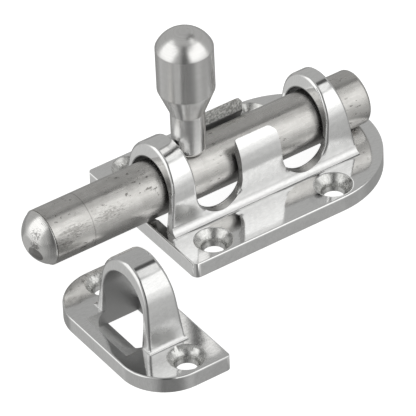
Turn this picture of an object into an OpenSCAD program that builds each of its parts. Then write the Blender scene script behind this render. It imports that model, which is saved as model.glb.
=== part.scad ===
// Slide bolt: a cast housing, a round bolt with a turned handle, and a cast keeper.
// Millimetres. X runs along the bolt towards its nose and Z up from the mounting face.
// The origin is the middle of the housing's four screws, on the mounting face.
// The bolt is thrown and its handle stands upright. The keeper lies beside the nose.

/* [Base plates] */
// Thickness of the two base plates
plate_t = 4.7; // [4:0.1:6]
// Width of the housing's plate, whose rear end is a half circle
plate_w = 52.6; // [51:0.2:60]
// From the front screws to the front edge of the housing's plate
front_margin = 10.4; // [8:0.1:14]
// From the rear screws forward to the centre of the round end
round_end_shift = 1.1; // [0:0.1:4]
// Radius of the plate's two front corners, seen from above
front_corner_r = 2; // [1:0.5:4]
// Rounding of the plates' top edges
edge_r = 0.5; // [0.3:0.1:1]

/* [Screws] */
// Spacing of the housing's screws along the bolt
screw_x = 40; // [38:0.5:46]
// Spacing of the housing's screws across the bolt
screw_y = 40; // [39:0.5:46]
// Spacing of the keeper's two screws
keeper_screw_y = 39; // [38:0.5:42]
// Diameter of the screw holes
screw_hole_d = 6.2; // [4.5:0.1:6.5]
// Diameter of the countersinks at the top face
screw_head_d = 10.8; // [9:0.1:11]

/* [Bolt] */
// Diameter of the bolt
rod_d = 16; // [14:0.5:17]
// Gap between the bolt and the bore round it
rod_gap = 1.2; // [0.6:0.1:1.4]
// Gap between the bolt and the plates under it
rod_lift = 0.3; // [0.2:0.05:0.8]
// How far the bolt's straight part stands out in front of the plate
rod_reach = 31.4; // [20:0.2:40]
// How far the bolt stands out behind the rear arch
rod_tail = 8.5; // [5:0.1:10]
// Rounding of the bolt's rear end
rod_tail_r = 1.2; // [0.5:0.1:3]
// Height of the domed nose
nose_h = 4.7; // [3:0.1:6.5]
// How much smaller the nose is than the bolt, all round
nose_step = 0.12; // [0.05:0.01:0.4]
// Diameter of the small flat at the nose's tip
nose_flat_d = 4.8; // [2:0.1:6]
// Diameter of the spigot that holds the nose in the bolt
spigot_d = 8; // [6:0.5:10]
// Length of that spigot
spigot_l = 13; // [8:1:20]
// Running gap round the spigot
spigot_gap = 0.05; // [0.02:0.01:0.1]

/* [Barrel] */
// From the plate's front edge back to the foot of the front arch
arch_setback = 2.5; // [1.5:0.1:4]
// From the foot of each arch to the notch beside it
arch_len = 9.3; // [8:0.1:12]
// Gap on each side of the handle's neck in a notch
notch_gap = 2.6; // [1.5:0.1:3.5]
// Height over the bolt's axis of the centre of the notches' round bottoms
notch_rise = 0.3; // [0:0.1:1]
// Length of the lug between the two notches
lug_len = 13.3; // [10:0.1:20]
// Wall between the bore and the arches' round top
barrel_wall = 1.7; // [1.4:0.1:2.4]
// Height over the bolt's axis of the centre of the arches' round top
crown_rise = 2.6; // [1:0.1:4]
// Lean of the barrel's sides, in degrees
side_lean = 5; // [2:0.5:6]
// Radius of the fillet where those sides meet the plate
foot_r = 2.6; // [1.5:0.1:2.8]
// Lean of the arches' end faces, in degrees
face_lean = 7.3; // [0:0.1:9]
// Lean of the lugs' end walls, in degrees
lug_lean = 1.5; // [0:0.5:4]
// Gap on each side of the upright handle's neck between the two lugs
slot_gap = 2.7; // [2:0.1:3.4]
// Rounding of the lug's front top corner
lug_front_r = 1; // [0.5:0.1:3]
// Rounding of the lug's rear top corner
lug_rear_r = 3; // [1:0.1:5]
// Width of the bar left across the front of the open channel under the bolt
front_bar_w = 3.4; // [2.5:0.1:5]
// From the rear foot of the barrel forward to the end of that channel
rear_land = 2.5; // [1:0.1:6]

/* [Handle] */
// Diameter of the handle's grip
grip_d = 16; // [12:0.2:18]
// Diameter of the handle's neck
neck_d = 9.6; // [8:0.1:11]
// Length of the neck
neck_l = 13.1; // [9:0.1:18]
// Height of the cone between the neck and the grip
cone_h = 8; // [5:0.1:10]
// Length of the grip's straight part
grip_l = 13.5; // [10:0.1:24]
// Height of the grip's dome
dome_h = 5.2; // [3:0.1:7.5]
// Rounding of the neck's lower edge
neck_edge_r = 1.5; // [0.3:0.1:1.5]
// Diameter of the stud that is screwed into the bolt
stud_d = 6; // [4:0.5:7]
// Length of the stud
stud_l = 6.5; // [4:0.5:7]
// Gap round the stud and under it
stud_gap = 0.05; // [0.02:0.01:0.1]
// Depth of the flat that the neck stands on
seat_depth = 0.5; // [0.3:0.1:1]
// Gap between the neck and the arch in front of it
neck_gap = 0.3; // [0.2:0.05:1]

/* [Keeper] */
// From the housing's front edge to the keeper's straight edge, along the bolt
keeper_ahead = 13.6; // [5:0.2:30]
// From the bolt's axis to the middle of the keeper, across the bolt
keeper_aside = 36.9; // [36.5:0.1:60]
// Radius of the keeper's two round corners
keeper_corner_r = 14; // [12:0.1:14.8]
// Radius of the two corners at its straight edge
keeper_rear_corner_r = 1.5; // [0.5:0.1:2]
// From the keeper's straight edge to its screws
keeper_margin = 9.9; // [8.4:0.1:11]
// From those screws forward to the centres of the round corners
keeper_corner_x = 1.6; // [1:0.1:3]
// Distance of those centres from the keeper's middle
keeper_half = 12.1; // [11.5:0.1:14]
// Gap between the bolt and the keeper's eye
eye_gap = 1.4; // [0.8:0.1:2]
// Wall between the eye and the round top of the keeper's arch
keeper_wall = 1.5; // [1.2:0.1:2]
// Height over the bolt's axis of the centre of that arch's round top
keeper_crown_rise = 2.6; // [2:0.1:4]
// Lean of the keeper arch's legs, in degrees
keeper_leg_lean = 9; // [4:0.5:11]
// Radius of the fillet at the foot of the keeper's arch
keeper_foot_r = 1.6; // [1:0.1:2]
// From the keeper's straight edge to the rear foot of its arch
keeper_arch_x = 5.3; // [3:0.1:6]
// Length of the keeper's arch at the plate
keeper_arch_len = 11.9; // [11:0.1:14]
// Lean of the arch's rear face, in degrees
keeper_rear_lean = 4.5; // [0:0.5:8]
// Lean of the arch's front face, in degrees
keeper_front_lean = 5; // [0:0.5:8]
// From the arch's rear foot forward to the opening under it
keeper_rear_land = 0.8; // [0.5:0.1:3]
// Plate between that opening and the arch's front foot, at the mounting face
keeper_front_land = 1.6; // [1:0.1:3]
// How far the scooped mouth of the opening reaches in front of the arch
scoop_reach = 5.1; // [3:0.1:5.6]

/* [Hidden] */
$fn = 96;
// Cutters run past the faces that they cut by this much
over = 1;
// Facets of the two sections that the scooped mouth blends
scoop_fn = 32;
// The notches' side walls start this far inside their round bottoms, so that the two cut cleanly
wall_bite = 0.01;

// Bolt
rod_r = rod_d / 2;
axis_z = plate_t + rod_lift + rod_r;
bore_r = rod_r + rod_gap;
crown_r = bore_r + barrel_wall;
notch_w = neck_d + 2 * notch_gap;
slot_w = neck_d + 2 * slot_gap;
nose_r = rod_r - nose_step;
nose_flat_r = nose_flat_d / 2;
// The dome is a ball that runs through the nose's two edges; its centre lies this far behind the nose
nose_ball_back = (nose_r * nose_r - nose_flat_r * nose_flat_r - nose_h * nose_h) / (2 * nose_h);
nose_ball_r = sqrt(nose_r * nose_r + nose_ball_back * nose_ball_back);

// Stations along the bolt
plate_front = screw_x / 2 + front_margin;
round_end_x = round_end_shift - screw_x / 2;
front_foot = plate_front - arch_setback;
notch_1 = front_foot - arch_len;
lug_front = notch_1 - notch_w;
lug_rear = lug_front - lug_len;
notch_2 = lug_rear;
rear_arch = notch_2 - notch_w;
rear_foot = rear_arch - arch_len;
rod_front = plate_front + rod_reach;
rod_rear = rear_foot - rod_tail;
handle_x = notch_1 - neck_gap - neck_d / 2;

// Heights
notch_z = axis_z + notch_rise;
crown_z = axis_z + crown_rise;
crown_top = crown_z + crown_r;
lug_top = crown_z + sqrt(crown_r * crown_r - slot_w * slot_w / 4);
seat_z = axis_z + rod_r - seat_depth;
dome_ball_r = (grip_d * grip_d / 4 + dome_h * dome_h) / (2 * dome_h);

// Keeper, counted from the middle of its screws
eye_r = rod_r + eye_gap;
keeper_crown_r = eye_r + keeper_wall;
keeper_x = plate_front + keeper_ahead + keeper_margin;
keeper_rear_foot = keeper_arch_x - keeper_margin;
keeper_front_foot = keeper_rear_foot + keeper_arch_len;
keeper_crown_z = axis_z + keeper_crown_rise;
keeper_crown_top = keeper_crown_z + keeper_crown_r;
eye_rear = keeper_rear_foot + keeper_rear_land;
eye_front = keeper_front_foot - keeper_front_land;

cast_colour = [0.80, 0.80, 0.79];
bar_colour = [0.66, 0.65, 0.63];
turned_colour = [0.70, 0.69, 0.67];

// Extrudes a flat shape in Y and Z from x0 to x1
module along_x(x0, x1) {
    translate([x0, 0, 0])
        rotate([90, 0, 90])
            linear_extrude(x1 - x0)
                children();
}

// Extrudes a flat shape in X and Z from y0 to y1
module along_y(y0, y1) {
    translate([0, y1, 0])
        rotate([90, 0, 0])
            linear_extrude(y1 - y0)
                children();
}

// Turns a profile, drawn as radius and length, about the bolt's axis from station x
module turned_on_bolt(x) {
    translate([x, 0, axis_z])
        rotate([0, 90, 0])
            rotate_extrude()
                children();
}

// What is cut away to round a corner that lies at the origin, with the shape below and left of it
module corner_cut(r) {
    difference() {
        translate([-r, -r]) square(r + over);
        translate([-r, -r]) circle(r);
    }
}

// A section of plate from a to b, with each top edge rounded where its flag is set
module plate_section(a, b, round_a, round_b) {
    difference() {
        translate([a, 0]) square([b - a, plate_t]);
        if (round_b) {
            translate([b, plate_t]) corner_cut(edge_r);
        }
        if (round_a) {
            translate([a, plate_t]) mirror([1, 0]) corner_cut(edge_r);
        }
    }
}

// A round plate with its top edge rounded
module soft_disc(r) {
    rotate_extrude() plate_section(0, r, false, true);
}

// A countersunk screw hole through a plate, which clears a foot that runs over its rim
module countersunk_hole() {
    sink = (screw_head_d - screw_hole_d) / 2;
    translate([0, 0, -over]) cylinder(h = plate_t + 2 * over, d = screw_hole_d);
    translate([0, 0, plate_t - sink]) cylinder(h = sink, d1 = screw_hole_d, d2 = screw_head_d);
    translate([0, 0, plate_t]) cylinder(h = 2 * over, d = screw_head_d);
}

// Half of an arch's outer section: a leg that leans out by lean degrees from a round top,
// and the fillet that runs from the leg into the plate
module arch_leg(r, centre_z, lean, fillet) {
    tangent_y = r * cos(lean);
    tangent_z = centre_z + r * sin(lean);
    foot_y = tangent_y + (tangent_z - plate_t - fillet) * tan(lean) + fillet / cos(lean);
    polygon([
        [0, 0],
        [tangent_y + tangent_z * tan(lean), 0],
        [tangent_y, tangent_z],
        [0, tangent_z]
    ]);
    difference() {
        polygon([
            [0, 0],
            [foot_y, 0],
            [foot_y, plate_t],
            [foot_y - fillet * cos(lean), plate_t + fillet * (1 - sin(lean))],
            [0, plate_t + fillet]
        ]);
        translate([foot_y, plate_t + fillet]) circle(fillet);
    }
}

// An arch's outer section, down to the mounting face
module arch_section(r, centre_z, lean, fillet) {
    translate([0, centre_z]) circle(r);
    for (side = [0, 1]) {
        mirror([side, 0]) arch_leg(r, centre_z, lean, fillet);
    }
}

// The passage through an arch: a round top, and straight sides down to the height bottom_z
module passage_section(r, bottom_z) {
    translate([0, axis_z]) circle(r);
    translate([-r, bottom_z]) square([2 * r, axis_z - bottom_z]);
}

// An arch seen from the side: two end faces that lean towards each other above the plate
module leaning_side(rear, rear_lean, front, front_lean, top) {
    rise = top - plate_t;
    polygon([
        [rear - plate_t * tan(rear_lean), 0],
        [front + plate_t * tan(front_lean), 0],
        [front - rise * tan(front_lean), top],
        [rear + rise * tan(rear_lean), top]
    ]);
}

// The housing's plate: two square corners in front and a half circle behind
module housing_plate() {
    half = plate_w / 2;
    translate([round_end_x, 0, 0]) soft_disc(half);
    intersection() {
        along_x(round_end_x, plate_front) plate_section(-half, half, true, true);
        along_y(-half, half) plate_section(round_end_x, plate_front, false, true);
        linear_extrude(plate_t)
            difference() {
                translate([round_end_x, -half]) square([plate_front - round_end_x, plate_w]);
                for (side = [0, 1]) {
                    mirror([0, side])
                        translate([plate_front, half]) corner_cut(front_corner_r);
                }
            }
    }
}

// One side of a handle notch: a wall that leans out by lean degrees from the round bottom
module notch_wall(lean) {
    r = notch_w / 2 - wall_bite;
    rise = crown_top + over - notch_z;
    polygon([
        [0, 0],
        [r * cos(lean), -r * sin(lean)],
        [r / cos(lean) + rise * tan(lean), rise],
        [0, rise]
    ]);
}

// A handle notch seen from the side, whose two walls may lean differently
module notch_side(front, front_lean, rear_lean) {
    translate([front - notch_w / 2, notch_z]) {
        circle(notch_w / 2);
        notch_wall(front_lean);
        mirror([1, 0]) notch_wall(rear_lean);
    }
}

// The barrel seen from the side: two arches, two notches and the lug between them
module barrel_side() {
    difference() {
        leaning_side(rear_foot, face_lean, front_foot, face_lean, crown_top + over);
        // The front wall of the front notch is upright, close behind the handle's neck
        notch_side(notch_1, 0, lug_lean);
        notch_side(notch_2, lug_lean, face_lean);
        // The lug's top is level with the edge of the open slot, and its corners are rounded
        translate([lug_rear - notch_w / 2, lug_top])
            square([lug_len + notch_w, crown_top - lug_top + 2 * over]);
        translate([lug_front, lug_top]) corner_cut(lug_front_r);
        translate([lug_rear, lug_top]) mirror([1, 0]) corner_cut(lug_rear_r);
    }
}

module housing() {
    half = screw_y / 2;
    color(cast_colour)
        difference() {
            union() {
                housing_plate();
                intersection() {
                    along_x(rear_foot - over, front_foot + over)
                        arch_section(crown_r, crown_z, side_lean, foot_r);
                    along_y(-plate_w / 2, plate_w / 2) barrel_side();
                }
            }
            // The bore, and the channel that leaves it open through the mounting face
            along_x(rear_foot - over, front_foot + over) passage_section(bore_r, plate_t);
            translate([rear_foot + rear_land, -bore_r, -over])
                cube([plate_front - front_bar_w - rear_foot - rear_land, 2 * bore_r, plate_t + 2 * over]);
            // The slot that lets the upright handle pass between the lugs
            translate([lug_rear - over, -slot_w / 2, axis_z])
                cube([lug_len + 2 * over, slot_w, crown_top]);
            for (x = [-screw_x / 2, screw_x / 2], y = [-half, half]) {
                translate([x, y, 0]) countersunk_hole();
            }
        }
}

// A straight bar with its rear edge rounded, a flat and a tapped hole for the handle,
// and a bore in its front end for the nose's spigot
module bolt_rod() {
    length = rod_front - rod_rear;
    color(bar_colour)
        difference() {
            turned_on_bolt(rod_rear)
                difference() {
                    square([rod_r, length]);
                    translate([rod_r, 0]) mirror([0, 1]) corner_cut(rod_tail_r);
                }
            turned_on_bolt(rod_front - spigot_l - spigot_gap)
                square([spigot_d / 2 + spigot_gap, spigot_l + spigot_gap + over]);
            translate([handle_x, 0, seat_z]) cylinder(h = rod_r, d = neck_d + 2 * stud_gap);
            translate([handle_x, 0, seat_z - stud_l - stud_gap])
                cylinder(h = stud_l + stud_gap + over, d = stud_d + 2 * stud_gap);
        }
}

// The domed nose with its flat tip, a little smaller than the bolt, on its spigot
module bolt_nose() {
    color(turned_colour)
        turned_on_bolt(rod_front + spigot_gap) {
            intersection() {
                square([nose_r, nose_h]);
                translate([0, -nose_ball_back]) circle(nose_ball_r);
            }
            translate([0, -spigot_l]) square([spigot_d / 2, spigot_l + nose_h / 2]);
        }
}

// The handle, turned in one piece: stud, neck, cone, grip and dome
module handle_knob() {
    grip_r = grip_d / 2;
    neck_r = neck_d / 2;
    grip_z = neck_l + cone_h;
    color(turned_colour)
        translate([handle_x, 0, seat_z])
            rotate_extrude() {
                translate([0, -stud_l]) square([stud_d / 2, stud_l + neck_l]);
                difference() {
                    square([neck_r, neck_l]);
                    translate([neck_r, 0]) mirror([0, 1]) corner_cut(neck_edge_r);
                }
                polygon([[0, neck_l], [neck_r, neck_l], [grip_r, grip_z], [0, grip_z]]);
                translate([0, grip_z]) square([grip_r, grip_l]);
                translate([0, grip_z + grip_l])
                    intersection() {
                        square([grip_r, dome_h]);
                        translate([0, dome_h - dome_ball_r]) circle(dome_ball_r);
                    }
            }
}

// The keeper's plate: two large round corners in front and a straight edge behind
module keeper_plate() {
    half = keeper_half + keeper_corner_r;
    front = keeper_corner_x + keeper_corner_r;
    intersection() {
        union() {
            for (side = [-1, 1]) {
                translate([keeper_corner_x, side * keeper_half, 0]) soft_disc(keeper_corner_r);
            }
            along_y(-keeper_half, keeper_half) plate_section(keeper_corner_x, front, false, true);
            along_x(-keeper_margin, keeper_corner_x) plate_section(-half, half, true, true);
        }
        along_y(-half, half) plate_section(-keeper_margin, front, true, false);
        linear_extrude(plate_t)
            difference() {
                translate([-keeper_margin, -half]) square([keeper_margin + front, 2 * half]);
                for (side = [0, 1]) {
                    mirror([0, side])
                        translate([-keeper_margin, half]) mirror([1, 0]) corner_cut(keeper_rear_corner_r);
                }
            }
    }
}

// The scooped mouth in front of the arch: half an ellipse at the top face,
// and the opening's straight edge at the mounting face
module keeper_scoop() {
    sheet = 0.01;
    hull() {
        translate([eye_front, 0, plate_t])
            linear_extrude(sheet)
                intersection() {
                    scale([(keeper_front_land + scoop_reach) / eye_r, 1]) circle(eye_r, $fn = scoop_fn);
                    translate([0, -eye_r]) square(2 * eye_r);
                }
        translate([eye_front - over, -eye_r, -sheet]) cube([over, 2 * eye_r, sheet]);
    }
}

module keeper() {
    half_w = keeper_half + keeper_corner_r;
    color(cast_colour)
        translate([keeper_x, keeper_aside, 0])
            difference() {
                union() {
                    keeper_plate();
                    intersection() {
                        along_x(keeper_rear_foot - over, keeper_front_foot + over)
                            arch_section(keeper_crown_r, keeper_crown_z, keeper_leg_lean, keeper_foot_r);
                        along_y(-half_w, half_w)
                            leaning_side(keeper_rear_foot, keeper_rear_lean,
                                keeper_front_foot, keeper_front_lean, keeper_crown_top + over);
                    }
                }
                // The eye that the bolt enters, and the opening under it
                along_x(keeper_rear_foot - over, keeper_front_foot + over)
                    passage_section(eye_r, plate_t);
                translate([eye_rear, -eye_r, -over])
                    cube([eye_front - eye_rear, 2 * eye_r, plate_t + 2 * over]);
                keeper_scoop();
                for (side = [-1, 1]) {
                    translate([0, side * keeper_screw_y / 2, 0]) countersunk_hole();
                }
            }
}

housing();
bolt_rod();
bolt_nose();
handle_knob();
keeper();
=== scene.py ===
# %% [markdown]
# # A slide bolt, step by step
# The real object is a barrel bolt in stainless steel: a polished cast housing, a round bar with a domed
# nose, a turned handle, and a polished cast keeper that lies loose beside the nose. The CAD parts come in
# as a fixed frame. Everything here is in metres, in the CAD's own frame: X along the bolt, Z up.

import bmesh
import bpy
import math
from mathutils import Matrix, Vector


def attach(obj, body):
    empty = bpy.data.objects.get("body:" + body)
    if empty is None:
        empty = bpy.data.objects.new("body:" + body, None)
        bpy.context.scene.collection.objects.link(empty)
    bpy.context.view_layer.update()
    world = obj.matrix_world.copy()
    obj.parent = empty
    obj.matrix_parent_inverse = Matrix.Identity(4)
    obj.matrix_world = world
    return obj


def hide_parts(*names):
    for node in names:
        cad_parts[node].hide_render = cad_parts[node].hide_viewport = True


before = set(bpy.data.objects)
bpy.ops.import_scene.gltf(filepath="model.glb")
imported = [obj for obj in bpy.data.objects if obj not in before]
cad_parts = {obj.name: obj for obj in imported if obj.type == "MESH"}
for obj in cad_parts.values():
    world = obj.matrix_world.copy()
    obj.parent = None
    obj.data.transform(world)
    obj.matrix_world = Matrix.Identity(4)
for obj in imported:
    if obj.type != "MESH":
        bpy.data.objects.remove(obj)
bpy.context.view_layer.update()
MM = 0.001

# %% [markdown]
# ## The camera
# The photograph was taken with a long lens from the front left of the bolt, looking down at 38 degrees.
# A camera could be aimed by an empty and a constraint. Here its three axes are worked out once from its
# azimuth, elevation and roll, because that keeps the view exact and leaves nothing to go out of date.

# %% The camera's axes
def camera_axes(azimuth, elevation, roll):
    """The camera's right, up and backward directions, from three angles in radians."""
    back = Vector((
        math.sin(azimuth) * math.cos(elevation),
        -math.cos(azimuth) * math.cos(elevation),
        math.sin(elevation),
    ))
    right = Vector((math.cos(azimuth), math.sin(azimuth), 0))
    up = back.cross(right)
    return (
        math.cos(roll) * right + math.sin(roll) * up,
        math.cos(roll) * up - math.sin(roll) * right,
        back,
    )


VIEW_ANGLES = (146.97, 38.21, -2.67)
view_right, view_up, view_back = camera_axes(*(math.radians(angle) for angle in VIEW_ANGLES))
print("the camera looks along", [round(-c, 3) for c in view_back])

# %% The camera itself
TARGET = Vector((10.04, 2.71, 0)) * MM
DISTANCE = 1.56769
lens = bpy.data.cameras.new("camera")
lens.sensor_width = 36
lens.lens = 495.5
lens.clip_start = 0.01
lens.clip_end = 10
camera = bpy.data.objects.new("camera", lens)
bpy.context.scene.collection.objects.link(camera)
turn = Matrix((view_right, view_up, view_back)).transposed().to_4x4()
camera.matrix_world = Matrix.Translation(TARGET + view_back * DISTANCE) @ turn
bpy.context.scene.camera = camera
bpy.context.scene.view_settings.view_transform = "Standard"
print("camera at", [round(c, 3) for c in camera.matrix_world.translation])

# %% [markdown]
# ## Node tools
# Materials and the studio are node trees. They could be wired by hand in the shader editor, but then they
# couldn't be run again from a script. A few short helpers keep each tree readable: one fills an input, one
# adds a node, and the others make the kinds of node that come up most.

# %% Helpers that add and join nodes
def join(tree, source, target):
    """Feeds an input from another node's socket, or sets it to a plain value."""
    if isinstance(source, bpy.types.NodeSocket):
        tree.links.new(source, target)
    else:
        target.default_value = source


def add(tree, kind, **settings):
    """A new node of that kind, with its settings and, by name, what goes into its inputs."""
    node = tree.nodes.new(kind)
    for name, value in settings.items():
        if hasattr(node, name):
            setattr(node, name, value)
        else:
            join(tree, value, node.inputs[name.replace("_", " ")])
    return node


print("helpers that add and join nodes:", [f.__name__ for f in (join, add)])

# %% Helpers for sums
def math_node(tree, operation, *values):
    """A Math node's result. Each of its values is a number or another node's socket."""
    node = add(tree, "ShaderNodeMath", operation=operation)
    for i, value in enumerate(values):
        join(tree, value, node.inputs[i])
    return node.outputs[0]


def fold(tree, operation, first, *others):
    """One Math node after another over all the values: their product, say, or the largest."""
    for value in others:
        first = math_node(tree, operation, first, value)
    return first


print("helpers for sums:", [f.__name__ for f in (math_node, fold)])

# %% Helpers for vectors, noise and soft steps
def vector_node(tree, operation, a, b):
    """A Vector Math node's result: a number for a distance or a dot product, and else a vector."""
    node = add(tree, "ShaderNodeVectorMath", operation=operation)
    join(tree, a, node.inputs[0])
    join(tree, b, node.inputs[1])
    return node.outputs["Value" if operation in ("DOT_PRODUCT", "DISTANCE") else "Vector"]


def noise(tree, vector, **settings):
    """A Noise Texture's value over that vector, with its settings by name."""
    return add(tree, "ShaderNodeTexNoise", Vector=vector, **settings).outputs["Fac"]


def smooth_step(tree, value, low, high, start=0.0, end=1.0):
    """A soft switch from start to end while value runs from low to high."""
    return add(tree, "ShaderNodeMapRange", interpolation_type="SMOOTHSTEP", Value=value,
               From_Min=low, From_Max=high, To_Min=start, To_Max=end).outputs["Result"]


print("helpers for values:", [f.__name__ for f in (vector_node, noise, smooth_step)])

# %% A helper for mixing
# For each kind of Mix node: where the first and the second value go in, and where the result comes out
MIX_SOCKETS = {"FLOAT": (2, 3, 0), "RGBA": (6, 7, 2)}


def mix(tree, kind, factor, plain, other, **settings):
    """A Mix node's result: the plain value or colour, and the other one where the factor is 1."""
    first, second, result = MIX_SOCKETS[kind]
    node = add(tree, "ShaderNodeMix", data_type=kind, **settings)
    join(tree, factor, node.inputs[0])
    join(tree, plain, node.inputs[first])
    join(tree, other, node.inputs[second])
    return node.outputs[result]


print("kinds of mix:", sorted(MIX_SOCKETS))

# %% Helpers for node groups
def new_group(name, inputs, output):
    """A shader node group, its inputs by name with their first values, and its one output.

    A first value that is a number makes a number's socket, and any other makes a vector's.
    """
    tree = bpy.data.node_groups.new(name, "ShaderNodeTree")
    for label, value in inputs.items():
        kind = "NodeSocketFloat" if isinstance(value, float) else "NodeSocketVector"
        socket = tree.interface.new_socket(name=label, in_out="INPUT", socket_type=kind)
        if value is not None:
            socket.default_value = value
    tree.interface.new_socket(name=output, in_out="OUTPUT", socket_type="NodeSocketFloat")
    given = tree.nodes.new("NodeGroupInput").outputs
    return tree, given, tree.nodes.new("NodeGroupOutput").inputs[output]


def place(tree, group, **values):
    """The result of one use of a group, with its own values or links."""
    node = tree.nodes.new("ShaderNodeGroup")
    node.node_tree = group
    for label, value in values.items():
        join(tree, value, node.inputs[label.replace("_", " ")])
    return node.outputs[0]


print("helpers for groups:", [f.__name__ for f in (new_group, place)])

# %% [markdown]
# ## The studio light
# Polished steel has no colour of its own: it shows the room. The photograph's steel shows a grey room with
# a bright soft panel on each side of the camera, a small one overhead, darkness round the camera itself,
# and duller patches low down. Area lamps could stand in for the panels, but they give no grey between
# them. So the room is painted by direction in the world shader, one soft-edged panel after another.

# %% A soft-edged panel, by direction
panel_group, panel_in, panel_out = new_group(
    "studio_panel",
    {"Direction": None, "Centre": None, "Across": None, "Upwards": None,
     "Half width": 0.3, "Half height": 0.3, "Softness": 0.1},
    "Mask",
)
ahead = vector_node(panel_group, "DOT_PRODUCT", panel_in["Direction"], panel_in["Centre"])
depth = math_node(panel_group, "MAXIMUM", ahead, 0.05)
mask = smooth_step(panel_group, ahead, 0.0, 0.1)
for axis, extent in (("Across", "Half width"), ("Upwards", "Half height")):
    along = vector_node(panel_group, "DOT_PRODUCT", panel_in["Direction"], panel_in[axis])
    offset = math_node(panel_group, "ABSOLUTE", math_node(panel_group, "DIVIDE", along, depth))
    inner = math_node(panel_group, "SUBTRACT", panel_in[extent], panel_in["Softness"])
    outer = math_node(panel_group, "ADD", panel_in[extent], panel_in["Softness"])
    mask = math_node(panel_group, "MULTIPLY", mask,
                     smooth_step(panel_group, offset, inner, outer, 1.0, 0.0))
join(panel_group, mask, panel_out)
print("panel group has", len(panel_group.nodes), "nodes")

# %% The panels of the grey room
# Left and right are as one looks from the bolt to the camera. Each row has the azimuth and elevation of
# the panel's centre, its half width and half height in degrees, its softness, and the level it shows in
# steel. Later rows are painted over earlier ones.
panels = [
    ("under_side", 180, -90, 80, 80, 0.35, 0.56),
    ("left_glow", 120, -6, 32, 38, 0.35, 0.75),
    ("right_glow", -22, -10, 36, 44, 0.35, 0.76),
    ("low_left", 138, -46, 16, 18, 0.25, 0.60),
    ("low_right", -5, -42, 34, 18, 0.20, 0.66),
    ("left_spill", 117, 20, 34, 20, 0.25, 0.93),
    ("left_softbox", 117, 38, 34, 21, 0.12, 1.10),
    ("right_spill", -20, 14, 30, 30, 0.30, 0.90),
    ("right_softbox", -20, 32, 30, 28, 0.10, 1.05),
    ("overhead_panel", 164, 64, 11, 6, 0.05, 0.92),
    ("overhead_strip", -158, 60, 5, 15, 0.05, 0.32),
    ("camera_side", 57, 15, 14, 60, 0.16, 0.34),
    ("table_edge", 66, -44, 22, 26, 0.34, 0.47),
    ("under_bolt", 175, -66, 32, 13, 0.26, 0.45),
]
print("the studio has", len(panels), "panels")

# %% Levels and directions
STEEL = 0.85
ROOM_LEVEL = 0.65


def shown(level):
    """The linear light that the picture shows at this level, from 0 to 1."""
    return level / 12.92 if level <= 0.04045 else ((level + 0.055) / 1.055) ** 2.4


def light_for(level):
    """The light that shows at this level in steel, which gives back part of it. Above 1 it is linear."""
    return (shown(level) if level <= 1 else level) / STEEL


def direction_of(azimuth, elevation):
    """The direction at that azimuth and elevation in degrees."""
    a, e = math.radians(azimuth), math.radians(elevation)
    return Vector((math.cos(a) * math.cos(e), math.sin(a) * math.cos(e), math.sin(e)))


print("the grey room's light is", round(light_for(ROOM_LEVEL), 3))

# %% The grey room
world = bpy.data.worlds.new("studio")
bpy.context.scene.world = world
world.use_nodes = True
room = world.node_tree
room.nodes.clear()
looking = add(room, "ShaderNodeTexCoord").outputs["Generated"]
light = light_for(ROOM_LEVEL)
for name, azimuth, elevation, half_width, half_height, softness, level in panels:
    centre = direction_of(azimuth, elevation)
    across = direction_of(azimuth + 90, 0)
    half_height = min(half_height, 80)
    panel = place(room, panel_group, Direction=looking, Centre=centre, Across=across,
                  Upwards=centre.cross(across), Half_width=math.tan(math.radians(half_width)),
                  Half_height=math.tan(math.radians(half_height)), Softness=softness)
    panel.node.name = name
    light = mix(room, "FLOAT", panel, light, light_for(level))
print("painted in order:", ", ".join(row[0] for row in panels))

# %% The room's light, and the white that the camera sees
tinted = mix(room, "RGBA", 1.0, light, (1.0, 1.0, 0.985, 1), blend_type="MULTIPLY")
room_light = add(room, "ShaderNodeBackground", Color=tinted)
backdrop = add(room, "ShaderNodeBackground", Color=(1, 1, 1, 1), Strength=1.0)
which = add(room, "ShaderNodeMixShader")
join(room, add(room, "ShaderNodeLightPath").outputs["Is Camera Ray"], which.inputs[0])
join(room, room_light.outputs[0], which.inputs[1])
join(room, backdrop.outputs[0], which.inputs[2])
join(room, which.outputs[0], add(room, "ShaderNodeOutputWorld").inputs["Surface"])
print("the world has", len(room.nodes), "nodes")

# %% [markdown]
# ## The floor
# The product lies on a plain white sheet, so bright that only a faint shadow under it shows. The sheet
# glows a little as well as taking light, which is how a lit table looks. A sheet that only took light
# would need strong lamps, which would show in the steel. This one doesn't show in it: there the room
# painted above does that.

# %% The floor
sheet = bmesh.new()
bmesh.ops.create_grid(sheet, x_segments=1, y_segments=1, size=3)
floor_mesh = bpy.data.meshes.new("floor")
sheet.to_mesh(floor_mesh)
sheet.free()
floor = bpy.data.objects.new("floor", floor_mesh)
bpy.context.scene.collection.objects.link(floor)
floor_look = bpy.data.materials.new("white_sheet")
floor_look.use_nodes = True
glow = floor_look.node_tree.nodes["Principled BSDF"]
glow.inputs["Base Color"].default_value = (0.35, 0.35, 0.35, 1)
glow.inputs["Roughness"].default_value = 0.9
glow.inputs["Specular IOR Level"].default_value = 0.0
glow.inputs["Emission Color"].default_value = (1, 1, 1, 1)
glow.inputs["Emission Strength"].default_value = 0.93
floor_mesh.materials.append(floor_look)
floor.visible_glossy = False
print("floor laid, in metres:", [round(c, 1) for c in floor.dimensions])

# %% [markdown]
# ## Shared surface effects
# Steel parts differ in what the maker's tools and use left on them. Pictures of worn metal could be
# wrapped round them, but these would need a layout for each part. Noise in object coordinates needs none.
# Four effects serve several finishes, so each is a node group, built once: fine parallel tool marks, the
# broad ripple that hand polishing leaves on a casting, a worn spot, and small scuffs and dents.

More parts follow.
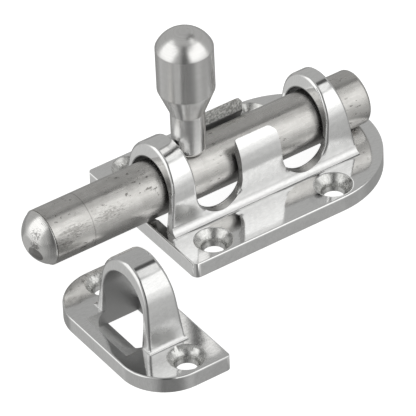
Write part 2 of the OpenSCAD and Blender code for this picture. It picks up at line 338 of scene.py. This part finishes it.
# %% Tool marks
marks_group, marks_in, marks_out = new_group(
    "tool_marks", {"Vector": None, "Stretch": (1000.0, 1000.0, 1000.0)}, "Marks")
lines = noise(marks_group, vector_node(marks_group, "MULTIPLY", marks_in["Vector"], marks_in["Stretch"]),
              Scale=1.0, Detail=3.0, Roughness=0.65)
join(marks_group, smooth_step(marks_group, lines, 0.3, 0.7), marks_out)
print("tool marks:", len(marks_group.nodes), "nodes")

# %% Polishing ripple
ripple_group, ripple_in, ripple_out = new_group(
    "polishing_ripple", {"Vector": None, "Waves per metre": 90.0}, "Height")
waves = ripple_in["Waves per metre"]
broad = noise(ripple_group, ripple_in["Vector"], Scale=waves, Detail=1.0, Roughness=0.4)
fine = noise(ripple_group, ripple_in["Vector"], Detail=2.0, Roughness=0.5,
             Scale=math_node(ripple_group, "MULTIPLY", waves, 5.0))
join(ripple_group, math_node(ripple_group, "MULTIPLY_ADD", fine, 0.04, broad), ripple_out)
print("polishing ripple:", len(ripple_group.nodes), "nodes")

# %% A worn spot
# Its grain is patchy near the rim and full in the middle. With more depth it fills out to the rim.
spot_group, spot_in, spot_out = new_group(
    "worn_spot",
    {"Vector": None, "Centre": (0.0, 0.0, 0.0), "Radius": 0.002, "Grain": 1800.0,
     "Softness": 0.7, "Depth": 0.0},
    "Mask",
)
away = vector_node(spot_group, "DISTANCE", spot_in["Vector"], spot_in["Centre"])
nearness = math_node(spot_group, "SUBTRACT", 1.0,
                     math_node(spot_group, "DIVIDE", away, spot_in["Radius"]))
grain = noise(spot_group, spot_in["Vector"], Scale=spot_in["Grain"], Detail=4.0, Roughness=0.7)
worn = math_node(spot_group, "MULTIPLY_ADD", nearness, 0.22, grain)
worn = math_node(spot_group, "ADD", worn, spot_in["Depth"])
fade = smooth_step(spot_group, nearness, 0.0, spot_in["Softness"])
join(spot_group, math_node(spot_group, "MULTIPLY", smooth_step(spot_group, worn, 0.56, 0.78), fade),
     spot_out)
print("worn spot:", len(spot_group.nodes), "nodes")

# %% Scuffs and dents
scuff_group, scuff_in, scuff_out = new_group(
    "dark_marks", {"Vector": None, "Stretch": (400.0, 900.0, 900.0), "Amount": 0.3}, "Mask")
scuff_space = vector_node(scuff_group, "MULTIPLY", scuff_in["Vector"], scuff_in["Stretch"])
specks = noise(scuff_group, scuff_space, Scale=1.0, Detail=4.0, Roughness=0.7)
patches = noise(scuff_group, scuff_space, Scale=0.13, Detail=1.0)
edge = math_node(scuff_group, "SUBTRACT", 0.82,
                 math_node(scuff_group, "MULTIPLY", scuff_in["Amount"], patches))
join(scuff_group, smooth_step(scuff_group, specks, edge, math_node(scuff_group, "ADD", edge, 0.05)),
     scuff_out)
print("groups:", sorted(g.name for g in bpy.data.node_groups))

# %% [markdown]
# ## The finishes
# Every part is bare stainless steel, so every finish is a full metal. They differ in how dark and how rough
# they are, and in their marks. One steel for all would be simpler, but then cast, ground and turned parts
# would look alike. So each kind of part has its own finish, built on the same plain steel.

# %% A steel finish to build on
def steel(name):
    """A metal material, its node tree and shader, and the object coordinates in it."""
    look = bpy.data.materials.new(name)
    look.use_nodes = True
    tree = look.node_tree
    shader = tree.nodes["Principled BSDF"]
    shader.inputs["Metallic"].default_value = 1.0
    return look, tree, shader, add(tree, "ShaderNodeTexCoord").outputs["Object"]


def dress(tree, shader, colour, roughness, height, distance):
    """Gives the shader its colour, its roughness, and a bump that is as deep as the distance."""
    bump = add(tree, "ShaderNodeBump", Strength=1.0, Distance=distance, Height=height)
    for label, source in (("Base Color", colour), ("Roughness", roughness),
                          ("Normal", bump.outputs["Normal"])):
        join(tree, source, shader.inputs[label])


print("helpers for steel:", [f.__name__ for f in (steel, dress)])

# %% Colours and places in a finish
def blend_colours(tree, mask, plain, other):
    """The plain colour, and the other one where the mask is 1. Each is a colour or a socket."""
    both = [c if isinstance(c, bpy.types.NodeSocket) else (*c, 1) for c in (plain, other)]
    return mix(tree, "RGBA", mask, *both)


def split_xyz(tree, vector):
    """The X, Y and Z of a vector."""
    return add(tree, "ShaderNodeSeparateXYZ", Vector=vector).outputs


print("helpers for finishes:", [f.__name__ for f in (blend_colours, split_xyz)])

# %% [markdown]
# ## Polished castings
# The housing and the keeper are cast, then buffed outside until they shine. The wheel doesn't reach the
# bore or the handle's slot, which stay rough and gritty, and the cones of the screw holes are turned. The
# bore's dark grey is partly the dull cast wall and partly painted shade, the slot's light grit is
# brightened with painted light, and the arches are painted darker low down, painted shade near the plate.
# The faces could be sorted by hand into three materials. Here soft masks worked out from the place on the
# part do it, because they also give the dull corners that the wheel only half reaches.

# %% Sizes of the castings
AXIS_Z = 13.0 * MM
PLATE_T = 4.7 * MM
ARCH_RADIUS = 10.9 * MM
CROWN_RISE = 2.6 * MM
HOUSING_BORE = 9.2 * MM
KEEPER_Y = 36.9 * MM
KEEPER_BORE = 9.4 * MM
LUG_MIDDLE = -2.85 * MM
LUG_HALF = 6.65 * MM
SCREW_RIM = 5.4 * MM
housing_screws = [(x * MM, y * MM) for x in (-20, 20) for y in (-20, 20)]
keeper_screws = [(53.9 * MM, KEEPER_Y + y * MM) for y in (-19.5, 19.5)]
print("screw holes:", len(housing_screws), "in the housing,", len(keeper_screws), "in the keeper")

# %% A mask for a casting's bore
def length_of(tree, a, b):
    """The length of a step that goes a one way and b square to it."""
    return math_node(tree, "SQRT", math_node(
        tree, "MULTIPLY_ADD", a, a, math_node(tree, "MULTIPLY", b, b)))


def bore_masks(tree, x, radius, wall_radius, ends, mouth_x):
    """The cast wall of a bore between its two ends, and its buffed mouth, from mouth_x to the front."""
    rear, front = ends
    wall = fold(tree, "MULTIPLY",
                smooth_step(tree, radius, wall_radius, wall_radius + 0.15 * MM, 1.0, 0.0),
                smooth_step(tree, x, rear - 0.05 * MM, rear + 0.05 * MM),
                smooth_step(tree, x, front - 0.05 * MM, front + 0.05 * MM, 1.0, 0.0))
    cast = math_node(tree, "MULTIPLY", wall,
                     smooth_step(tree, x, mouth_x, mouth_x + 5 * MM, 1.0, 0.35))
    return cast, math_node(tree, "SUBTRACT", wall, cast)


print("masks for a bore:", bore_masks.__name__)

# %% Masks for the handle's slot and the screw holes
def slot_mask(tree, x, y, z, slot_half):
    """The walls of the handle's slot, between the two lugs."""
    from_lug = math_node(tree, "ABSOLUTE", math_node(tree, "SUBTRACT", x, LUG_MIDDLE))
    return fold(tree, "MULTIPLY",
                smooth_step(tree, math_node(tree, "ABSOLUTE", y), slot_half,
                            slot_half + 0.1 * MM, 1.0, 0.0),
                smooth_step(tree, z, 0.0, 0.5 * MM),
                smooth_step(tree, from_lug, LUG_HALF - 0.25 * MM, LUG_HALF + 0.05 * MM, 1.0, 0.0))


def cone_mask(tree, x, y, screws):
    """The cones of the screw holes, each with its centre in screws."""
    cones = []
    for screw_x, screw_y in screws:
        from_screw = length_of(tree, math_node(tree, "SUBTRACT", x, screw_x),
                               math_node(tree, "SUBTRACT", y, screw_y))
        cones.append(smooth_step(tree, from_screw, SCREW_RIM - 0.1 * MM,
                                 SCREW_RIM + 0.02 * MM, 1.0, 0.0))
    return fold(tree, "MAXIMUM", *cones)


print("masks for cuts in a casting:", [f.__name__ for f in (slot_mask, cone_mask)])

# %% Greys of a casting
def buffed_grey(tree, height, marks, grey):
    """The buffed outside, a little darker in the marks, and darker low on the arches with painted shade."""
    # Painted shade: the arches are painted darker low down, near the plate
    low = math_node(tree, "MULTIPLY", smooth_step(tree, height, 8 * MM, 20 * MM, 0.8, 0.0),
                    smooth_step(tree, height, 6.0 * MM, 8.5 * MM))
    return blend_colours(tree, math_node(tree, "MULTIPLY_ADD", marks, 0.3, low),
                         [grey] * 3, [grey * 0.78] * 3)


def cast_grey(tree, grit, in_bore, bore_grey_and_shade):
    """Light and dark grit in the slot, brightened with painted light, and one dark grey in the bore, partly
    the dull cast wall and partly painted shade.
    """
    # The slot's grit goes up to near white: random cast grit, brightened with painted light
    grit_and_painted_light = blend_colours(tree, smooth_step(tree, grit, 0.40, 0.60),
                           (0.55, 0.55, 0.54), (0.98, 0.98, 0.97))
    return blend_colours(tree, in_bore, grit_and_painted_light, [bore_grey_and_shade] * 3)


def cone_grey(tree, where):
    """Fine marks that the cutter left in the cones."""
    cut = place(tree, marks_group, Vector=where, Stretch=(1500.0, 1500.0, 300.0))
    return blend_colours(tree, cut, (0.80, 0.80, 0.79), (0.56, 0.56, 0.55))


print("greys of a casting:", [f.__name__ for f in (buffed_grey, cast_grey, cone_grey)])

# %% The finish of a casting
def casting(name, axis_y, wall_radius, ends, mouth_x, slot_half, screws, grey, bore_grey_and_shade):
    """Buffed steel that is left as cast in its bore and in the handle's slot.

    The bore's axis lies at axis_y, and wall_radius is just past its wall. ends are the X of its two ends.
    From mouth_x on it is buffed more and more. slot_half is half the slot's width, and screws are the
    centres of the screw holes. grey is the buffed steel's, and the bore's grey is the dull cast wall's,
    darkened with painted shade.
    """
    look, tree, shader, where = steel(name)
    x, plain_y, height = split_xyz(tree, where)
    y = math_node(tree, "SUBTRACT", plain_y, axis_y)
    z = math_node(tree, "SUBTRACT", height, AXIS_Z)
    # Below its axis a bore has upright walls, so only the height above the axis counts
    radius = length_of(tree, y, math_node(tree, "MAXIMUM", z, 0.0))
    in_bore, in_mouth = bore_masks(tree, x, radius, wall_radius, ends, mouth_x)
    in_slot = slot_mask(tree, x, y, z, slot_half)
    in_cone = cone_mask(tree, x, plain_y, screws)
    as_cast = math_node(tree, "MAXIMUM", in_bore, in_slot)
    marks = place(tree, marks_group, Vector=where, Stretch=(700.0, 2600.0, 700.0))
    ripple = place(tree, ripple_group, Vector=where, Waves_per_metre=110.0)
    grit = noise(tree, where, Scale=1500.0, Detail=4.0, Roughness=0.75)
    # In the bore the colour is the dull cast wall's dark grey, made darker as painted shade
    colour = blend_colours(tree, as_cast, buffed_grey(tree, height, marks, grey),
                           cast_grey(tree, grit, in_bore, bore_grey_and_shade))
    colour = blend_colours(tree, in_cone, colour, cone_grey(tree, where))
    # The wheel reaches the corner at the arches' feet less well than the rest of the outside
    foot = fold(tree, "MULTIPLY", smooth_step(tree, height, 6 * MM, 15 * MM, 1.0, 0.0),
                smooth_step(tree, height, PLATE_T, PLATE_T + 0.5 * MM),
                smooth_step(tree, radius, wall_radius + 0.3 * MM, wall_radius + 0.6 * MM))
    roughness = math_node(tree, "MULTIPLY_ADD", marks, 0.05, 0.06)
    for place_mask, extra in ((foot, 0.27), (in_cone, 0.20), (in_mouth, 0.30), (in_slot, 0.30),
                              (as_cast, 0.34)):
        roughness = math_node(tree, "MULTIPLY_ADD", place_mask, extra, roughness)
    rise = math_node(tree, "MULTIPLY_ADD", math_node(tree, "MULTIPLY", as_cast, grit), 0.5, ripple)
    dress(tree, shader, colour, roughness, rise, 0.10 * MM)
    return look


print("a finish is ready:", casting.__name__)

# %% The finishes of the housing and the keeper
# The bores' dark greys are partly the dull cast wall and partly painted shade
housing_finish = casting(
    "polished_housing", axis_y=0.0, wall_radius=HOUSING_BORE + 0.25 * MM,
    ends=(-31.2 * MM, 27.1 * MM), mouth_x=60 * MM, slot_half=7.53 * MM, screws=housing_screws,
    grey=0.86, bore_grey_and_shade=0.30)
keeper_finish = casting(
    "polished_keeper", axis_y=KEEPER_Y, wall_radius=KEEPER_BORE + 0.25 * MM,
    ends=(49.2 * MM, 66.4 * MM), mouth_x=61.5 * MM, slot_half=0.0, screws=keeper_screws,
    grey=0.78, bore_grey_and_shade=0.46)
print("casting finishes:", housing_finish.name, keeper_finish.name)

# %% [markdown]
# ## The ground bar
# The bar is plain round stock, ground along its length and no more, so it is duller than the castings and
# has fine lines along it. Use has left scuffs, a few drawn-out worn places and a scribed line near the
# nose. Scratches could be cut into the mesh, but they are far finer than its faces, so a finish has them.

# %% The bar's marks
bar_finish, tree, shader, where = steel("ground_bar")
marks = place(tree, marks_group, Vector=where, Stretch=(180.0, 1500.0, 1500.0))
dark_marks = place(tree, scuff_group, Vector=where, Stretch=(500.0, 900.0, 900.0), Amount=0.36)
# Worn places are drawn out along the bar by measuring X in shorter steps
SHORT_STEP = 0.35
drawn_out = vector_node(tree, "MULTIPLY", where, (SHORT_STEP, 1, 1))
bar_spots = (((55.3, 7.1, 16.8), 3.4), ((44.2, 6.9, 17.0), 3.4), ((59.0, 7.7, 14.5), 2.2))
for (x, y, z), size in bar_spots:
    spot = place(tree, spot_group, Vector=drawn_out, Radius=size * MM, Grain=2600.0,
                 Centre=[x * SHORT_STEP * MM, y * MM, z * MM])
    dark_marks = math_node(tree, "MAXIMUM", dark_marks, math_node(tree, "MULTIPLY", spot, 0.7))
print("worn places on the bar:", len(bar_spots))

# %% The bar's finish
cloud = noise(tree, where, Scale=260.0, Detail=4.0, Roughness=0.65)
ground = blend_colours(tree, marks, (0.65, 0.64, 0.625), (0.60, 0.59, 0.575))
clouded = blend_colours(tree, smooth_step(tree, cloud, 0.35, 0.75), ground, (0.53, 0.52, 0.505))
SCRIBED_X = 49.8 * MM
from_line = math_node(tree, "ABSOLUTE", math_node(
    tree, "SUBTRACT", split_xyz(tree, where)["X"], SCRIBED_X))
scribed = smooth_step(tree, from_line, 0.08 * MM, 0.22 * MM, 1.0, 0.0)
marked = blend_colours(tree, scribed, clouded, (0.40, 0.39, 0.38))
pits = noise(tree, where, Scale=3200.0, Detail=2.0)
dress(tree, shader, blend_colours(tree, dark_marks, marked, (0.24, 0.23, 0.22)),
      math_node(tree, "MULTIPLY_ADD", marks, 0.06, 0.26),
      math_node(tree, "SUBTRACT", math_node(tree, "MULTIPLY", pits, 0.5), dark_marks), 0.03 * MM)
print("bar finish:", bar_finish.name)

# %% [markdown]
# ## Turned steel
# The handle and the nose come from a lathe, so their marks run round them. An anisotropic shader would
# stretch the reflections in the same way, but it needs tangents on the mesh. Noise that is squeezed along
# the turning axis gives the same fine rings in the bump. The handle is painted dark round its foot, a
# painted shadow where it sits on the bar, and the nose is worn where it strikes the keeper.

# %% A turned finish
def turned(name, stretch, colour, dark, roughness, spread, seat=None, spots=()):
    """Steel with fine marks that run round its axis, where the stretch is largest along that axis.

    Marks take the colour to dark and make it rougher by the spread. With a seat it is painted dark up to
    that height, a painted shadow where it sits on another part. Each spot is a worn place: its centre and
    radius in millimetres, the softness of its edge, and how deeply it is worn.
    """
    look, tree, shader, where = steel(name)
    marks = place(tree, marks_group, Vector=where, Stretch=stretch)
    dark_marks = place(tree, scuff_group, Vector=where, Stretch=(700.0, 700.0, 700.0), Amount=0.25)
    for centre, size, softness, depth in spots:
        spot = place(tree, spot_group, Vector=where, Centre=[c * MM for c in centre],
                     Radius=size * MM, Softness=softness, Depth=depth)
        dark_marks = math_node(tree, "MAXIMUM", dark_marks, spot)
    # Painted shadow: below the seat the part is painted dark, where it sits on the bar
    if seat:
        painted_seat_shadow = smooth_step(tree, split_xyz(tree, where)["Z"], seat, seat + 0.35 * MM, 1.0, 0.0)
        dark_marks = math_node(tree, "MAXIMUM", dark_marks, painted_seat_shadow)
    base = blend_colours(tree, marks, colour, dark)
    # Scuffs, worn places and the painted shadow at the seat all take this dark colour
    dress(tree, shader, blend_colours(tree, dark_marks, base, (0.28, 0.275, 0.27)),
          math_node(tree, "MULTIPLY_ADD", marks, spread, roughness), marks, 0.008 * MM)
    return look


print("a finish is ready:", turned.__name__)

# %% The finishes of the handle and the nose
# The handle is painted dark below 20.6 mm, a painted shadow where it sits on the bar
handle_finish = turned(
    "turned_handle", stretch=(40.0, 40.0, 7000.0), colour=(0.82, 0.815, 0.81),
    dark=(0.76, 0.755, 0.75), roughness=0.20, spread=0.05, seat=20.6 * MM)
nose_finish = turned(
    "turned_nose", stretch=(8000.0, 40.0, 40.0), colour=(0.84, 0.835, 0.825),
    dark=(0.76, 0.755, 0.745), roughness=0.12, spread=0.08,
    spots=(((65.4, 2.6, 17.3), 3.0, 0.7, 0.0), ((65.9, 3.0, 14.2), 2.6, 0.7, 0.06),
           ((66.2, 2.8, 10.9), 2.6, 0.12, 0.30)))
print("turned finishes:", handle_finish.name, nose_finish.name)

# %% [markdown]
# ## The parts, with their edges eased
# No real edge is perfectly sharp. Buffing rounds a casting's edges by a few tenths of a millimetre, and
# each one catches a thin line of light. The CAD parts have crisp edges, and a CAD part's mesh is loose
# triangles. So each part gets a merged copy: its flat faces are joined up again, its crisp edges are
# bevelled, and the copy stands for the CAD part. A bevel in the shader would be quicker, but the outline
# and the mesh itself would stay sharp.

# %% A merged copy, and one round of bevels
CRISP_ANGLE = 25


def merged_copy(node):
    """The CAD node's mesh with its loose triangles joined and its flat faces made whole."""
    shape = bmesh.new()
    shape.from_mesh(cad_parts[node].data)
    bmesh.ops.remove_doubles(shape, verts=shape.verts, dist=0.0005 * MM)
    bmesh.ops.dissolve_limit(shape, angle_limit=math.radians(0.6), verts=shape.verts,
                             edges=shape.edges, use_dissolve_boundaries=False, delimit=set())
    return shape


def crisp_edges(shape, angle):
    """The edges between two faces that meet at more than that angle in degrees."""
    return [e for e in shape.edges
            if len(e.link_faces) == 2 and e.calc_face_angle(0) > math.radians(angle)]


def ease(shape, radius, chosen, clamp=True, angle=CRISP_ANGLE):
    """Rounds each crisp edge that chosen accepts by its two ends, and says how many there were."""
    edges = [e for e in crisp_edges(shape, angle) if chosen(*(v.co for v in e.verts))]
    bmesh.ops.bevel(shape, geom=edges, offset=radius, offset_type="OFFSET", segments=3, profile=0.5,
                    affect="EDGES", clamp_overlap=clamp, material=-1)
    return len(edges)


print("an edge is crisp from", CRISP_ANGLE, "degrees on")

# %% The finished piece that stands for a CAD part
SHARP_SHADING = 50


def eased(node, body, finish, rounds):
    """Puts a copy in a CAD node's place, with each round of bevels in turn, as ease takes them."""
    shape = merged_copy(node)
    counts = [ease(shape, *one_round) for one_round in rounds]
    bmesh.ops.remove_doubles(shape, verts=shape.verts, dist=0.002 * MM)
    open_edges = sum(1 for e in shape.edges if len(e.link_faces) != 2)
    for face in shape.faces:
        face.smooth = True
    sharp = set(crisp_edges(shape, SHARP_SHADING))
    for e in shape.edges:
        e.smooth = e not in sharp
    mesh = bpy.data.meshes.new(node + "_eased")
    shape.to_mesh(mesh)
    print(node, "edges eased", counts, "faces", len(shape.faces), "open edges", open_edges)
    shape.free()
    piece = bpy.data.objects.new(node + "_eased", mesh)
    bpy.context.scene.collection.objects.link(piece)
    mesh.materials.append(finish)
    weighted = piece.modifiers.new("weighted_normals", "WEIGHTED_NORMAL")
    weighted.keep_sharp = True
    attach(piece, body)
    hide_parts(node)


print("shading breaks at edges of more than", SHARP_SHADING, "degrees")

# %% [markdown]
# ## Which edges are buffed most
# The buffing wheel rolls over the outside of the arches, so their edges are the roundest. The lugs, the
# bore and the screw holes only have their edges broken, and the slot's edges are left crisp, because
# where they meet the notches there is no room for a bevel. Each kind of edge gets its own round of bevels,
# chosen by where it lies, because one radius for all would have to be as small as the tightest place.

# %% A test for the edges of arches and lugs
NEAR = 0.05 * MM
ALONG_BOLT = 0.95


def on_arch(axis_y, lowest, of_lugs=False):
    """A test for edges round the outside of the arches, or of the lugs, from the lowest height up."""
    def outside(point):
        above = max(point.z - AXIS_Z - CROWN_RISE, 0)
        clear_of_plate = point.z > PLATE_T + 0.4 * MM
        return clear_of_plate and math.hypot(point.y - axis_y, above) > ARCH_RADIUS - 0.08 * MM

    def test(a, b):
        along_slot = min(a.z, b.z) > AXIS_Z and abs((b - a).normalized().x) > ALONG_BOLT
        at_lug = abs((a.x + b.x) / 2 - LUG_MIDDLE) < LUG_HALF + 0.85 * MM
        high = (a.z + b.z) / 2 > lowest
        return high and outside(a) and outside(b) and not along_slot and at_lug == of_lugs
    return test


print("a test for edges of arches:", on_arch.__name__)

# %% Tests for the edges of bores and screw holes
def on_bore(axis_y, radius):
    """A test for edges on the round part of a bore."""
    def test(*ends):
        return all(p.z > AXIS_Z - 1 * MM and
                   abs(math.hypot(p.y - axis_y, p.z - AXIS_Z) - radius) < NEAR for p in ends)
    return test


def on_rim(centres):
    """A test for edges on the rims of screw holes, at the plate's top face."""
    def test(*ends):
        return all(abs(p.z - PLATE_T) < NEAR and
                   any(abs(math.hypot(p.x - x, p.y - y) - SCREW_RIM) < NEAR for x, y in centres)
                   for p in ends)
    return test


def anywhere(a, b):
    """A test that every edge passes."""
    return True


print("tests for other edges:", [f.__name__ for f in (on_bore, on_rim, anywhere)])

# %% [markdown]
# ## The five pieces
# Each piece stands for one CAD part and rides on that part's body: both castings on the fixed one, the
# nose on the one that slides, and the bar and the handle on the one that slides and turns. The clamp keeps
# a bevel from running into the next edge. The arches go without it, because it would thin their wide
# rounds to nothing.

# %% The two castings
eased("housing", "frame", housing_finish, [
    (0.9 * MM, on_arch(0.0, 8 * MM), False),
    (0.3 * MM, on_arch(0.0, 8 * MM, of_lugs=True)),
    (0.3 * MM, on_bore(0.0, HOUSING_BORE)),
    (0.25 * MM, on_rim(housing_screws)),
])
eased("keeper", "frame", keeper_finish, [
    (1.1 * MM, on_arch(KEEPER_Y, 5.1 * MM), False),
    (0.3 * MM, on_bore(KEEPER_Y, KEEPER_BORE)),
    (0.25 * MM, on_rim(keeper_screws)),
])

# %% The bar, the nose and the handle
# The handle's rims are blunter than the others, so a smaller angle counts as crisp there
HANDLE_ANGLE = 19
eased("bolt_rod", "bolt", bar_finish, [(0.12 * MM, anywhere)])
eased("bolt_nose", "bolt_tip", nose_finish, [(0.2 * MM, anywhere)])
eased("handle_knob", "bolt", handle_finish,
      [(0.15 * MM, anywhere, True, HANDLE_ANGLE)])
